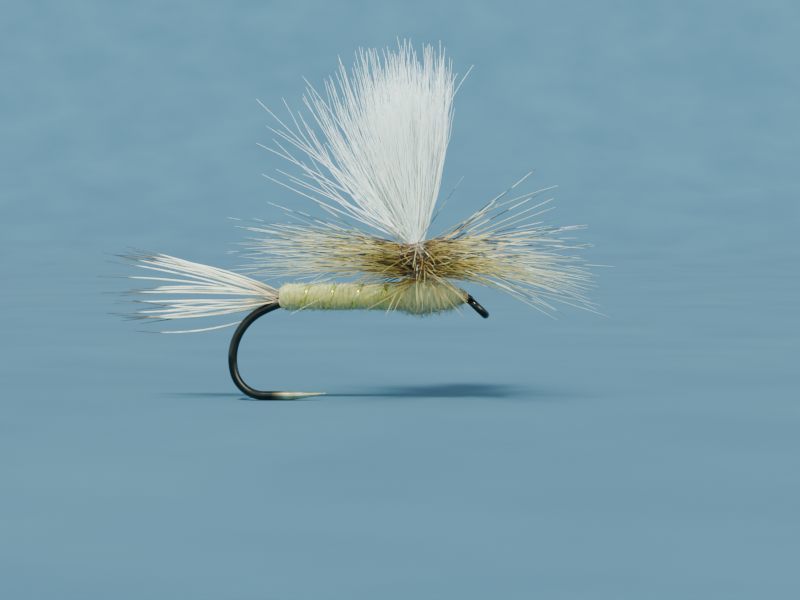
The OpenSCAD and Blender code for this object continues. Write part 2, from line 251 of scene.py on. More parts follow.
for k in range(1, rings + 1):
    along = k / rings
    ring_r = TIP_R + (WIRE_R - TIP_R) * (1 - along) ** 0.8
    lift = POINT_LIFT * along ** 1.5
    bpy.ops.mesh.extrude_region_move(
        TRANSFORM_OT_translate={"value": (POINT / rings * MM, 0, (lift - last_lift) * MM)})
    middle = (centre.x + SPEAR - POINT + POINT * along, 0, spear_z + lift)
    bpy.ops.transform.resize(value=(1, ring_r / last_r, ring_r / last_r),
                             center_override=[v * MM for v in middle])
    last_r, last_lift = ring_r, lift
bpy.ops.object.mode_set(mode="OBJECT")
print("spear at z", round(spear_z, 3), "tip at x", round(middle[0], 3))

# %% The neck, and the eye's ring with its butt end
edit(hook)                                  # this leaves nothing selected
bpy.ops.object.mode_set(mode="OBJECT")
for vertex in hook.data.vertices:
    vertex.select = abs(vertex.co.x - SHANK_FRONT * MM) < 1e-6
bpy.ops.object.mode_set(mode="EDIT")
bpy.ops.mesh.spin(steps=10, angle=-EYE_TILT, center=(SHANK_FRONT * MM, 0, (SHANK_Z - NECK_R) * MM),
                  axis=(0, 1, 0))
bpy.ops.object.mode_set(mode="OBJECT")
close_up(hook)
bpy.ops.object.select_all(action="DESELECT")
bpy.ops.mesh.primitive_circle_add(vertices=24, radius=EYE_WIRE_R * MM, fill_type="NOTHING",
                                  location=(-EYE_R * MM, 0, 0), rotation=(math.pi / 2, 0, 0))
ring = bpy.context.object
bpy.ops.object.transform_apply(location=True, rotation=True, scale=True)
edit(ring)
bpy.ops.mesh.select_all(action="SELECT")
bpy.ops.transform.rotate(value=RING_START, orient_axis="Z", center_override=(0, 0, 0))
bpy.ops.mesh.spin(steps=56, angle=RING_SWEEP, center=(0, 0, 0), axis=(0, 0, 1))
bpy.ops.object.mode_set(mode="OBJECT")
ring.rotation_euler = (0, EYE_TILT, 0)
close_up(ring)
pick(ring)
bpy.ops.object.transform_apply(location=True, rotation=True, scale=True)
pick(hook, ring)
bpy.ops.object.join()
settle(hook, "hook_wire", steel, "bronzed_wire", "hook")
print("hook box in mm:", [round(v / MM, 2) for c in (hook.bound_box[0], hook.bound_box[6]) for v in c])

# %% [markdown]
# ## Tying thread: waxed nylon
# The thread is a flat bundle of nylon filaments, waxed so that it grips. Wound on, it lies in close
# flat turns with a dull sheen, and the wax fills the grooves and picks up colour from the fingers.

# %% Waxed thread
thread, tree, shader = new_material("waxed_nylon_thread", Roughness=0.55, Sheen_Weight=0.25)
where = add(tree, "ShaderNodeTexCoord").outputs["Object"]
wax = add(tree, "ShaderNodeTexNoise", {"Vector": where, "Scale": grain(0.2), "Detail": 5.0})
tone_ramp = add(tree, "ShaderNodeValToRGB", {"Fac": wax.outputs["Fac"]},
          [(0.3, "#6b5f3a"), (0.5, "#8f8356"), (0.72, "#b0a673")])
tree.links.new(tone_ramp.outputs[0], shader.inputs["Base Color"])
# filaments are about 0.015 mm; they are drawn at 0.03 mm so that they show
filaments = add(tree, "ShaderNodeTexNoise", {"Vector": where, "Scale": grain(0.03), "Detail": 2.0})
nap = add(tree, "ShaderNodeBump", {"Height": filaments.outputs["Fac"], "Strength": 0.5,
                                   "Distance": 0.01 * MM})
tree.links.new(nap.outputs[0], shader.inputs["Normal"])
for node in ("thread_underwrap", "wing_lashing", "thread_dam"):
    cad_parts[node].data.materials.clear()
    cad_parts[node].data.materials.append(thread)
print("made", thread.name)

# %% [markdown]
# ## Thread wound on
# Each winding is a real helix: a small round section is added beside the axis and the Screw modifier
# winds it. The windings round the wing's foot lean with the wing, so they are turned after winding.

# %% Winding with the Screw modifier
def wind(radius, strand, pitch, length, steps=28):
    """A helix of thread round the Z axis, from z = 0 up, in millimetres."""
    bpy.ops.object.select_all(action="DESELECT")
    bpy.ops.mesh.primitive_circle_add(vertices=8, radius=strand * MM, fill_type="NOTHING",
                                      rotation=(math.pi / 2, 0, 0))
    obj = bpy.context.object
    bpy.ops.object.transform_apply(location=True, rotation=True, scale=True)
    edit(obj)
    bpy.ops.mesh.select_all(action="SELECT")
    bpy.ops.transform.translate(value=(radius * MM, 0, 0))
    bpy.ops.object.mode_set(mode="OBJECT")
    screw = obj.modifiers.new("winding", "SCREW")
    screw.axis, screw.angle, screw.screw_offset = "Z", 2 * math.pi, pitch * MM
    screw.iterations, screw.steps, screw.render_steps = max(1, round(length / pitch)), steps, steps
    pick(obj)
    bpy.ops.object.modifier_apply(modifier="winding")
    close_up(obj)
    return obj


def lay_along_x(obj, x, z):
    """Turns a winding from the Z axis to the X axis and moves it to start at x."""
    obj.rotation_euler = (0, math.pi / 2, 0)
    obj.location = (x * MM, 0, z * MM)
    pick(obj)
    bpy.ops.object.transform_apply(location=True, rotation=True, scale=True)


# %% Windings on the wing's foot, the tail's root and the head
POST_X, LEAN = -2.9, math.radians(7.3)
POST_R, WRAP_R = 0.38, 0.44


def on_post(height, around=0.0, out=0.0):
    """A point in millimetres beside the wing's foot: height up its axis, out from it at an angle."""
    x, y = out * math.cos(around), out * math.sin(around)
    return Vector((POST_X + x * math.cos(LEAN) - height * math.sin(LEAN), y,
                   SHANK_Z + x * math.sin(LEAN) + height * math.cos(LEAN)))


def stand_on_post(obj, height):
    """Leans a winding with the wing and puts its lower end at this height on the axis."""
    obj.rotation_euler = (0, -LEAN, 0)
    obj.location = on_post(height) * MM


FINE_R, THREAD_R = 0.035, 0.06              # the thread on the wing's foot, and at the tail and head
wraps = wind(radius=POST_R + 0.02, strand=FINE_R, pitch=0.06, length=2.04)
stand_on_post(wraps, 0.8)
settle(wraps, "post_wraps_thread", thread, "tying_thread", "post_wraps")
tie_off = wind(radius=WRAP_R + 0.03, strand=FINE_R, pitch=0.05, length=0.12)
stand_on_post(tie_off, 0.92)
settle(tie_off, "tie_off_thread", thread, "tying_thread", "hackle_tie_off")

low, high = mm_box("tail_binding")
tail_bind = wind(radius=0.42, strand=THREAD_R, pitch=0.07, length=high.x - low.x)
lay_along_x(tail_bind, low.x, SHANK_Z - 0.12)
settle(tail_bind, "tail_binding_thread", thread, "tying_thread", "tail_binding")

low, high = mm_box("head_thread")
head = wind(radius=0.36, strand=THREAD_R, pitch=0.06, length=high.x - low.x + 0.06)
lay_along_x(head, low.x - 0.04, SHANK_Z)
for vertex in head.data.vertices:           # the head tapers towards the eye
    ahead = (vertex.co.x / MM - low.x) / (high.x - low.x)
    thin = 1 - 0.35 * max(0.0, ahead)
    vertex.co.y *= thin
    vertex.co.z = SHANK_Z * MM + (vertex.co.z - SHANK_Z * MM) * thin
settle(head, "head_winding", thread, "tying_thread", "head_thread")

# %% [markdown]
# ## Head cement
# A drop of clear lacquer soaks into the last turns and sets as a thin amber skin. It is a coat over
# the thread, so it is mostly see-through and very glossy, with small sags where it pooled.

# %% The coat on the head
lacquer_coat, tree, shader = new_material("clear_amber_lacquer", Roughness=0.08, IOR=1.5, Alpha=0.35)
where = add(tree, "ShaderNodeTexCoord").outputs["Object"]
pools = add(tree, "ShaderNodeTexNoise", {"Vector": where, "Scale": grain(0.25), "Detail": 3.0})
amber = add(tree, "ShaderNodeValToRGB", {"Fac": pools.outputs["Fac"]},
            [(0.3, "#5b4a24"), (0.5, "#8a7440"), (0.7, "#b59f68")])
tree.links.new(amber.outputs[0], shader.inputs["Base Color"])
sags = add(tree, "ShaderNodeBump", {"Height": pools.outputs["Fac"], "Strength": 0.4,
                                    "Distance": 0.02 * MM})
tree.links.new(sags.outputs[0], shader.inputs["Normal"])

COAT_RINGS = (0.43, 0.43, 0.41, 0.37, 0.32, 0.27)      # the coat's radii from its rear to the eye
COAT_START = 0.40
low, high = mm_box("head_cement")
bpy.ops.object.select_all(action="DESELECT")
bpy.ops.mesh.primitive_circle_add(vertices=32, radius=COAT_START * MM, fill_type="NGON",
                                  location=(low.x * MM, 0, SHANK_Z * MM),
                                  rotation=(0, math.pi / 2, 0))
coat = bpy.context.object
bpy.ops.object.transform_apply(location=True, rotation=True, scale=True)
edit(coat, "FACE")
bpy.ops.mesh.select_all(action="SELECT")
last_r = COAT_START
for ring_r in COAT_RINGS:
    bpy.ops.mesh.extrude_region_move(
        TRANSFORM_OT_translate={"value": ((high.x - low.x) / len(COAT_RINGS) * MM, 0, 0)})
    bpy.ops.transform.resize(value=(1, ring_r / last_r, ring_r / last_r))
    last_r = ring_r
bpy.ops.object.mode_set(mode="OBJECT")
close_up(coat)
settle(coat, "head_varnish", lacquer_coat, "head_varnish", "head_cement")

# %% [markdown]
# ## Strands: hairs, barbs and stems
# Hundreds of hairs can't be modelled one by one. Each is a curve with a radius at every point, and
# all the curves of one piece become one mesh. The conversion gives each hair a UV map whose U runs
# from 0 at its root to 1 at its tip, which the colours follow.

# %% Growing strands
def grow(name, strands, sides=6):
    """One mesh from many strands, each a list of (point, radius) in millimetres."""
    curve = bpy.data.curves.new(name, "CURVE")
    curve.dimensions, curve.bevel_depth, curve.use_fill_caps = "3D", 1.0, True
    curve.bevel_resolution = sides // 2 - 2
    for strand in strands:
        spline = curve.splines.new("POLY")
        spline.points.add(len(strand) - 1)
        for place, (point, radius) in zip(spline.points, strand):
            place.co = (*(Vector(point) * MM), 1.0)
            place.radius = radius * MM
    obj = bpy.data.objects.new(name, curve)
    bpy.context.scene.collection.objects.link(obj)
    pick(obj)
    bpy.ops.object.convert(target="MESH")
    obj = bpy.context.object
    edit(obj)
    bpy.ops.mesh.select_all(action="SELECT")
    bpy.ops.mesh.remove_doubles(threshold=1e-8)
    bpy.ops.object.mode_set(mode="OBJECT")
    return obj


def hair(root, way, length, bend, thick, thin, points=8, full=0.75):
    """A tapered hair that leaves its root along way and is bent by the vector bend at its tip."""
    way = Vector(way).normalized()
    strand = []
    for k in range(points):
        t = k / (points - 1)
        body = min(1.0, (1 - t) / (1 - full))
        strand.append((Vector(root) + way * (length * t) + Vector(bend) * (t * t),
                       thin + (thick - thin) * body))
    return strand


def swept(root, steer, tip, thick, thin, points=9, full=0.45):
    """A tapered hair on a smooth curve from its root to its tip, drawn towards the point steer."""
    strand = []
    for k in range(points):
        t = k / (points - 1)
        place = Vector(root) * (1 - t) ** 2 + Vector(steer) * (2 * t * (1 - t)) + Vector(tip) * t * t
        strand.append((place, thin + (thick - thin) * min(1.0, (1 - t) / (1 - full))))
    return strand


def wavy(strand, luck, size):
    """The same strand with small waves in it; the root stays where it is."""
    phase, ripple = luck.uniform(0, 2 * math.pi), luck.uniform(1.3, 2.1)
    return [(Vector(place) + Vector((math.sin(phase + ripple * k), math.cos(phase + ripple * k), 0))
             * (size * min(1.0, k / 3)), radius) for k, (place, radius) in enumerate(strand)]


def turned_way(azimuth, elevation):
    """A direction from two angles in degrees: azimuth round from +X, elevation above level."""
    a, e = math.radians(azimuth), math.radians(elevation)
    return Vector((math.cos(a) * math.cos(e), math.sin(a) * math.cos(e), math.sin(e)))


print("strand helpers ready")

# %% [markdown]
# ## Hair and feather finishes
# Hair is a clear horny tube: light goes in and scatters, and a thin highlight runs along it. Each
# hair takes a slightly different tone, which comes from a random value for each loose piece of mesh.
# Along it, colour follows U: pale or dark tips, and the bars of a grizzly feather.

# %% A hair material with its own tones
def hair_material(name, along, spread, roughness=0.42, glow=0.25, bars=None, darkest=0.78,
                  sheen=0.15):
    """A hair whose tone runs along it and shifts from hair to hair; bars add dark bands along it."""
    material, tree, shader = new_material(name, Roughness=roughness, Subsurface_Weight=glow,
                                          Subsurface_Scale=0.05 * MM, Sheen_Weight=sheen)
    run = add(tree, "ShaderNodeSeparateXYZ", {0: add(tree, "ShaderNodeUVMap").outputs["UV"]})
    island = add(tree, "ShaderNodeNewGeometry").outputs["Random Per Island"]
    shift = add(tree, "ShaderNodeMapRange", {"Value": island, "To Min": -spread, "To Max": spread})
    place = add(tree, "ShaderNodeMath", {0: run.outputs["X"], 1: shift.outputs[0]}, operation="ADD")
    colour = add(tree, "ShaderNodeValToRGB", {"Fac": place.outputs[0]}, along).outputs[0]
    if bars:
        count, dark, cover = bars           # bands along the barb, their tone, the share they cover
        phase = add(tree, "ShaderNodeMath", {0: run.outputs["X"], 1: count}, operation="MULTIPLY")
        wander = add(tree, "ShaderNodeMath", {0: phase.outputs[0], 1: island}, operation="ADD")
        band = add(tree, "ShaderNodeMath", {0: wander.outputs[0]}, operation="FRACT")
        mask = add(tree, "ShaderNodeValToRGB", {"Fac": band.outputs[0]},
                   [(0.0, "#000000"), (1 - cover - 0.08, "#000000"), (1 - cover, "#ffffff"),
                    (0.93, "#ffffff"), (1.0, "#000000")])
        colour = add(tree, "ShaderNodeMix", {0: mask.outputs[0], 6: colour, 7: tone(dark)},
                     data_type="RGBA").outputs[2]
    # a second random tone, so that neighbours differ in lightness as well
    spin = add(tree, "ShaderNodeMath", {0: island, 1: 37.7}, operation="MULTIPLY")
    odd = add(tree, "ShaderNodeMath", {0: spin.outputs[0]}, operation="FRACT")
    bright = add(tree, "ShaderNodeMapRange", {"Value": odd.outputs[0], "To Min": darkest,
                                              "To Max": 1.12})
    finish = add(tree, "ShaderNodeHueSaturation", {"Color": colour, "Value": bright.outputs[0]})
    tree.links.new(finish.outputs[0], shader.inputs["Base Color"])
    # scales on the hair's skin, drawn 0.05 mm long so that they show
    where = add(tree, "ShaderNodeTexCoord").outputs["Object"]
    scales = add(tree, "ShaderNodeTexNoise", {"Vector": where, "Scale": grain(0.05), "Detail": 2.0})
    rough = add(tree, "ShaderNodeBump", {"Height": scales.outputs["Fac"], "Strength": 0.3,
                                         "Distance": 0.004 * MM})
    tree.links.new(rough.outputs[0], shader.inputs["Normal"])
    return material


# white calf-tail hair: bright, a little translucent, faintly grey at the foot
calf_hair = hair_material(
    "white_calf_hair", [(0.0, "#dfe8da"), (0.3, "#effced"), (0.75, "#f4fff4"), (1.0, "#edfaf1")],
    spread=0.12, roughness=0.32, glow=0.5, darkest=1.0, sheen=0.6)
# stiff tailing fibres: warm at the root, cream, with charcoal tips
tail_hair = hair_material(
    "cream_tail_hair", [(0.0, "#94714e"), (0.16, "#cdbd90"), (0.42, "#eef2d8"), (0.8, "#edf5dc"),
                        (0.84, "#5d5c54"), (1.0, "#22262a")], spread=0.04, darkest=0.85)
# ginger cock feather: brown at the stem, golden tan, pale tip
ginger = hair_material(
    "ginger_cock_feather", [(0.0, "#6b4a14"), (0.1, "#876a20"), (0.32, "#9f8a2e"), (0.58, "#b3a448"),
                            (0.82, "#c9c78a"), (1.0, "#dde2c0")], spread=0.12)
# the soft web at the foot of the same feather keeps the full ginger colour to its tip
ginger_down = hair_material(
    "ginger_feather_web", [(0.0, "#7a5219"), (0.3, "#957426"), (0.6, "#a78f3c"), (1.0, "#b1a45a")],
    spread=0.14)
# grizzly cock feather: cream with charcoal bars
grizzly = hair_material(
    "grizzly_cock_feather", [(0.0, "#8a6426"), (0.15, "#a08440"), (0.4, "#cdc48c"), (1.0, "#eef2de")],
    spread=0.06, bars=(3.0, "#1e1e17", 0.48))
# the stems of both feathers: chestnut brown, paler where they thin out
quill = hair_material(
    "chestnut_feather_quill", [(0.0, "#96541e"), (0.5, "#ad6a2a"), (1.0, "#c08c48")], spread=0.1)
print("made six hair finishes")

# %% [markdown]
# ## The tail
# Three small tufts of stiff fibres are tied in at the rear, one over the wire and one at each side.
# They leave the root together, spread a little and curve. A few go their own way.

# %% Tail fibres
TAIL_ROOT = Vector((-10.3, 0, 0.42))


def tail_tuft(name, node, seed, count, azimuth, elevation):
    """One tuft from the root: it spreads round its own direction."""
    luck = random.Random(seed)
    strands = []
    for k in range(count):
        root = TAIL_ROOT + Vector((luck.uniform(0.0, 0.5), luck.uniform(-0.2, 0.2),
                                   luck.uniform(-0.26, 0.26)))
        rise = elevation + luck.gauss(0, 2.2)
        way = turned_way(azimuth + luck.gauss(0, 4), rise)
        length = luck.uniform(8.0, 10.0)
        # fibres leave steeply and level out, each with a bow of its own
        early = turned_way(azimuth, rise * 1.7)
        bow = Vector((0, luck.gauss(0, 0.5), luck.gauss(0, 0.35)))
        strands.append(swept(root, root + early * (length * 0.42) + bow, root + way * length,
                             thick=0.048, thin=0.01, points=11, full=0.7))
    settle(grow(name, strands), name, tail_hair, "tail_hair", node)


tail_tuft("tail_fibres_top", "tail_tuft_top", seed=11, count=10, azimuth=180, elevation=16)
tail_tuft("tail_fibres_left", "tail_tuft_left", seed=12, count=8, azimuth=190, elevation=2)
tail_tuft("tail_fibres_right", "tail_tuft_right", seed=13, count=9, azimuth=170, elevation=-7)

# %% [markdown]
# ## Dubbing: fur spun on thread
# Dubbing is fine fur twisted round the thread and wound on. The abdomen is tight and even, so only a
# faint line shows between turns. The thorax is loose and full, with fibres standing out. Fur has no
# hard gloss: light scatters in it, painted light makes it paler on top and darker underneath, and a soft
# sheen follows its edge.

# %% Dubbing finishes
def dubbing(name, under, side, top, low_z, high_z, coarse):
    """Fur dyed one colour, with painted light: paler on top and darker underneath; mottled where it is
    thicker.
    """
    material, tree, shader = new_material(name, Roughness=0.85, Sheen_Weight=0.35, Sheen_Roughness=0.6,
                                          Subsurface_Weight=0.25, Subsurface_Scale=0.15 * MM)
    where = add(tree, "ShaderNodeTexCoord").outputs["Object"]
    split = add(tree, "ShaderNodeSeparateXYZ", {0: where})
    # painted light and shade: the colour runs with height from the under tone at low_z to the top tone
    # at high_z
    rise = add(tree, "ShaderNodeMapRange", {"Value": split.outputs["Z"], "From Min": low_z * MM,
                                            "From Max": high_z * MM})
    clump = add(tree, "ShaderNodeTexNoise", {"Vector": where, "Scale": grain(coarse), "Detail": 6.0,
                                             "Roughness": 0.65})
    blend = add(tree, "ShaderNodeMath", {0: clump.outputs["Fac"], 1: 0.9}, operation="MULTIPLY")
    mixed = add(tree, "ShaderNodeMath", {0: rise.outputs[0], 1: blend.outputs[0]}, operation="ADD")
    level = add(tree, "ShaderNodeMath", {0: mixed.outputs[0], 1: 0.45}, operation="SUBTRACT")
    tone_ramp = add(tree, "ShaderNodeValToRGB", {"Fac": level.outputs[0]},
              [(0.05, under), (0.45, side), (0.95, top)])
    # fibres lie round the body: the noise is stretched across its length
    lay = add(tree, "ShaderNodeMapping", {"Vector": where, "Scale": (6.0, 1.0, 1.0)})
    fibre = add(tree, "ShaderNodeTexNoise", {"Vector": lay.outputs[0], "Scale": grain(0.5),
                                             "Detail": 5.0})
    streak = add(tree, "ShaderNodeMapRange", {"Value": fibre.outputs["Fac"], "From Min": 0.3,
                                              "From Max": 0.7, "To Min": 0.8, "To Max": 1.12})
    finish = add(tree, "ShaderNodeHueSaturation", {"Color": tone_ramp.outputs[0],
                                                   "Value": streak.outputs[0]})
    tree.links.new(finish.outputs[0], shader.inputs["Base Color"])
    nap = add(tree, "ShaderNodeBump", {"Height": fibre.outputs["Fac"], "Strength": 0.7,
                                       "Distance": 0.03 * MM})
    tree.links.new(nap.outputs[0], shader.inputs["Normal"])
    return material


# under and top are painted shade and painted light: a darker underside and a paler top
abdomen_fur = dubbing("pale_olive_dubbing", under="#a3a76c", side="#9f9a3a", top="#ccce7a",
                      low_z=-0.13, high_z=1.25, coarse=0.3)
thorax_fur = dubbing("grey_olive_dubbing", under="#a2a274", side="#aca86c", top="#c6c488",
                     low_z=-0.39, high_z=1.46, coarse=0.4)
print("made two dubbing finishes")


# %% A rod of fur, shaped by a function of place
def rod(x_from, x_to, rings, around=56):
    """A closed rod along the shank: a circle extruded ring by ring."""
    bpy.ops.object.select_all(action="DESELECT")
    bpy.ops.mesh.primitive_circle_add(vertices=around, radius=MM, fill_type="NGON",
                                      location=(x_from * MM, 0, SHANK_Z * MM),
                                      rotation=(0, math.pi / 2, 0))
    obj = bpy.context.object
    bpy.ops.object.transform_apply(location=True, rotation=True, scale=True)
    edit(obj, "FACE")
    bpy.ops.mesh.select_all(action="SELECT")
    for k in range(rings):
        bpy.ops.mesh.extrude_region_move(
            TRANSFORM_OT_translate={"value": ((x_to - x_from) / rings * MM, 0, 0)})
    bpy.ops.object.mode_set(mode="OBJECT")
    return obj


def shape(obj, radius_at):
    """Moves each vertex of a rod to the radius that radius_at gives for its x and its angle."""
    for vertex in obj.data.vertices:
        angle = math.atan2(vertex.co.y, vertex.co.z - SHANK_Z * MM)
        radius = radius_at(vertex.co.x / MM, angle)
        vertex.co.y = radius * math.sin(angle) * MM
        vertex.co.z = (SHANK_Z + radius * math.cos(angle)) * MM
    close_up(obj)


def on_body(radius_at, x, angle, sunk=0.0):
    """A point on a body's surface and the way out of it. Angle 0 is up, -90 degrees is the near side."""
    out = Vector((0, math.sin(angle), math.cos(angle)))
    return Vector((x, 0, SHANK_Z)) + out * (radius_at(x, angle) - sunk), out


# %% The abdomen, wound and pinched under the rib
low, high = mm_box("abdomen")
ABDOMEN_X, JOINT_X = low.x, high.x
ABDOMEN_R = (high.z - low.z) / 2
RIB_PITCH, RIB_START = 1.37, mm_box("rib")[0].x + 0.15
WRAP_PITCH = 0.2


def rib_phase(x, angle):
    """How far a place is from the rib's middle line, as a part of the pitch, from -0.5 to 0.5."""
    turn = (x - RIB_START) / RIB_PITCH - angle / (2 * math.pi)
    return turn - round(turn)


def abdomen_at(x, angle):
    """The abdomen's radius: even turns of fur, a soft rear end, and a pinch under the rib."""
    from_rear = x - ABDOMEN_X
    radius = ABDOMEN_R - 0.02
    if from_rear < 0.45:
        radius -= 0.3 * (1 - from_rear / 0.45) ** 2
    turn = x / WRAP_PITCH + angle / (2 * math.pi)
    radius += 0.012 * math.cos(2 * math.pi * turn)
    radius += 0.018 * math.sin(x * 2.3 + 1.1 * math.sin(angle)) + 0.01 * math.sin(5.1 * x + 2 * angle)
    near = abs(rib_phase(x, angle)) * RIB_PITCH
    return radius - 0.045 * math.exp(-(near / 0.16) ** 2)


abdomen = rod(ABDOMEN_X, JOINT_X + 0.1, rings=150)
shape(abdomen, abdomen_at)
settle(abdomen, "abdomen_dubbing", abdomen_fur, "abdomen_dubbing", "abdomen")

# %% [markdown]
# ## Loose fur
# Short fibres lift out of the windings. They lie round the body with the turns of the dubbing and
# stand off a little, longest under the thorax, where the fur was picked out with a needle.

# %% Fibres that lift off the fur
def fuzz(name, seed, count, x_from, x_to, radius_at, length, lift, tail_back, material, slot, node):
    """Fine fibres on a body: most lie round it, some stand out by the angle lift in degrees."""
    luck = random.Random(seed)
    strands = []
    for k in range(count):
        x, angle = luck.uniform(x_from, x_to), luck.uniform(-math.pi, math.pi)
        root, out = on_body(radius_at, x, angle, 0.03)
        round_way = Vector((0, math.cos(angle), -math.sin(angle))) * luck.choice((-1, 1))
        rise = math.radians(abs(luck.gauss(0, lift)) + 4)
        way = round_way * math.cos(rise) + out * math.sin(rise) \
            + Vector((luck.gauss(tail_back, 0.45), 0, 0))
        reach = luck.uniform(*length)
        # a fibre that lies round the body follows its curve
        bend = -out * (reach * reach / (2.2 * radius_at(x, angle))) * math.cos(rise)
        strands.append(hair(root, way, reach, bend, thick=luck.uniform(0.006, 0.011), thin=0.004,
                            points=5))
    settle(grow(name, strands, sides=4), name, material, slot, node)


fuzz("abdomen_fuzz", seed=21, count=900, x_from=ABDOMEN_X + 0.15, x_to=JOINT_X,
     radius_at=abdomen_at, length=(0.35, 0.9), lift=13, tail_back=0.0,
     material=abdomen_fur, slot="abdomen_dubbing", node="abdomen")

# %% The thorax, fuller and looser
low, high = mm_box("thorax")
THORAX_BACK, THORAX_FRONT = low.x, high.x
THORAX_R = high.y


def thorax_at(x, angle):
    """The thorax's radius: fullest a third of the way from its rear, lumpy, narrow at the front."""
    t = min(1.0, max(0.0, (x - THORAX_BACK) / (THORAX_FRONT - THORAX_BACK)))
    if t < 0.3:
        radius = ABDOMEN_R + (THORAX_R - ABDOMEN_R) * math.sin(t / 0.3 * math.pi / 2)
    else:
        radius = THORAX_R - (THORAX_R - 0.42) * ((t - 0.3) / 0.7) ** 1.6
    lumps = math.sin(3.1 * x + 2 * angle) * 0.5 + math.sin(6.3 * x - 3 * angle + 1) * 0.3 \
        + math.sin(11 * x + 5 * angle) * 0.2
    return radius - 0.05 + 0.05 * lumps + 0.015 * math.cos(2 * math.pi * (x / 0.27 + angle / 6.283))


thorax = rod(THORAX_BACK - 0.12, THORAX_FRONT, rings=80)
shape(thorax, thorax_at)
settle(thorax, "thorax_dubbing", thorax_fur, "thorax_dubbing", "thorax")
fuzz("thorax_fuzz", seed=22, count=1500, x_from=THORAX_BACK - 0.3, x_to=THORAX_FRONT - 0.05,
     radius_at=thorax_at, length=(0.4, 1.0), lift=18, tail_back=-0.05,
     material=thorax_fur, slot="thorax_dubbing", node="thorax")

# %% [markdown]
# ## The rib: pearl tinsel
# Pearl tinsel is clear plastic film in many thin layers. It shows what lies under it, and throws back
# one bright tint where it faces the light, from white through yellow to green. It is a flat strip,
# so a small rectangle is wound with the Screw modifier.

# %% Pearl film
film, tree, shader = new_material("pearl_polyester_film", Roughness=0.16, Alpha=0.4, Metallic=0.8,
                                  Coat_Weight=0.6, Coat_Roughness=0.05)
where = add(tree, "ShaderNodeTexCoord").outputs["Object"]
tint = add(tree, "ShaderNodeTexNoise", {"Vector": where, "Scale": grain(0.4), "Detail": 2.0})
pearl = add(tree, "ShaderNodeValToRGB", {"Fac": tint.outputs["Fac"]},
            [(0.3, "#b9c850"), (0.45, "#f4ea58"), (0.55, "#fff8b0"), (0.7, "#d2e660")])
tree.links.new(pearl.outputs[0], shader.inputs["Base Color"])
crinkle = add(tree, "ShaderNodeTexNoise", {"Vector": where, "Scale": grain(0.12), "Detail": 2.0})
folds = add(tree, "ShaderNodeBump", {"Height": crinkle.outputs["Fac"], "Strength": 0.5,
                                     "Distance": 0.01 * MM})
tree.links.new(folds.outputs[0], shader.inputs["Normal"])

RIB_W, RIB_T = 0.26, 0.02
RIB_TURNS, RIB_STEPS = 4, 48                # whole turns of the strip, and its steps in each
bpy.ops.object.select_all(action="DESELECT")
bpy.ops.mesh.primitive_plane_add(size=MM, rotation=(math.pi / 2, 0, 0))
rib = bpy.context.object
bpy.ops.object.transform_apply(location=True, rotation=True, scale=True)
edit(rib)
bpy.ops.mesh.select_all(action="SELECT")
bpy.ops.transform.resize(value=(RIB_T, 1, RIB_W))
bpy.ops.mesh.delete(type="ONLY_FACE")
bpy.ops.mesh.select_all(action="SELECT")
bpy.ops.mesh.subdivide(number_cuts=1)
bpy.ops.transform.translate(value=(-(ABDOMEN_R + 0.005) * MM, 0, 0))
bpy.ops.object.mode_set(mode="OBJECT")
screw = rib.modifiers.new("winding", "SCREW")
screw.axis, screw.angle, screw.screw_offset = "Z", -2 * math.pi, RIB_PITCH * MM
screw.iterations, screw.steps, screw.render_steps = RIB_TURNS, RIB_STEPS, RIB_STEPS
pick(rib)
bpy.ops.object.modifier_apply(modifier="winding")
lay_along_x(rib, RIB_START, SHANK_Z)
close_up(rib)
settle(rib, "rib_tinsel", film, "pearl_tinsel", "rib")
print("rib box in mm:", [round(v / MM, 2) for c in (rib.bound_box[0], rib.bound_box[6]) for v in c])

# %% [markdown]
# ## The wing: a post of white calf hair
# The hair stands in one bundle inside its thread windings and fans out above them, wide along the
# hook and less across it. Outer hairs leave at a steep angle and curve back up. The tips were never
# cut, so they end at different heights.

# %% Wing hair
HAIR_FOOT, FAN_FOOT = 0.45, 2.92            # heights on the post: the hairs' ends, the fan's start
WING_LEAN = 11                              # degrees that the fan's middle leans back
SPREAD_BACK, SPREAD_AHEAD, SPREAD_ACROSS = 34, 28, 14   # degrees from the middle to the edge


def wing_tip(gate, side, across, length, luck):
    """Where a lock of the wing ends, and the point it is drawn towards on its way there."""
    spread = SPREAD_BACK if side < 0 else SPREAD_AHEAD
    lean = math.radians(WING_LEAN - side * spread + luck.gauss(0, 0.7))
    tilt = math.radians(across * SPREAD_ACROSS + luck.gauss(0, 1))
    way = Vector((-math.tan(lean), math.tan(tilt), 1)).normalized()
    early = Vector((-math.tan(lean * 1.3), math.tan(tilt * 1.2), 1)).normalized()
    return gate + way * length, gate + early * (length * 0.5)


